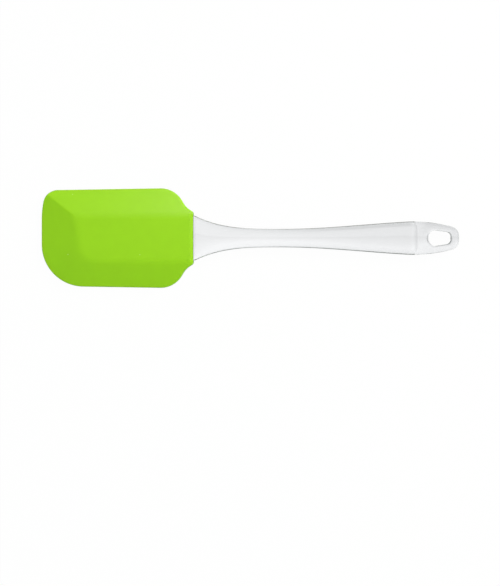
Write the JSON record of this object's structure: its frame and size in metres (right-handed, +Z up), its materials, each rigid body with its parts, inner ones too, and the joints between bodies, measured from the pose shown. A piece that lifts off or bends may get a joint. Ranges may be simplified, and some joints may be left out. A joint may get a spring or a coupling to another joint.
{
  "type": "silicone spatula",
  "caption": "Kitchen spatula with a bevelled soft scraping head pushed over the tang of a clear waisted handle with a hanging hole.",
  "frame": {"origin": "on the surface the spatula lies on, under the middle of its length and width", "axes": "+X from the toe of the head to the tip of the handle, +Y across the blade towards the small toe corner, +Z up"},
  "size_m": [0.25, 0.0598, 0.0104],
  "materials": {
    "silicone": "satin moulded lime silicone rubber",
    "clear_plastic": "polished clear moulded polystyrene"
  },
  "bodies": {
    "handle": {"clear_handle": "clear_plastic"},
    "head": {"silicone_head": "silicone"}
  },
  "joints": [
    {"name": "head_pull_off", "type": "slide", "parent": "handle", "child": "head", "axis": [-1, 0, 0], "range_m": [0, 0.07]}
  ]
}
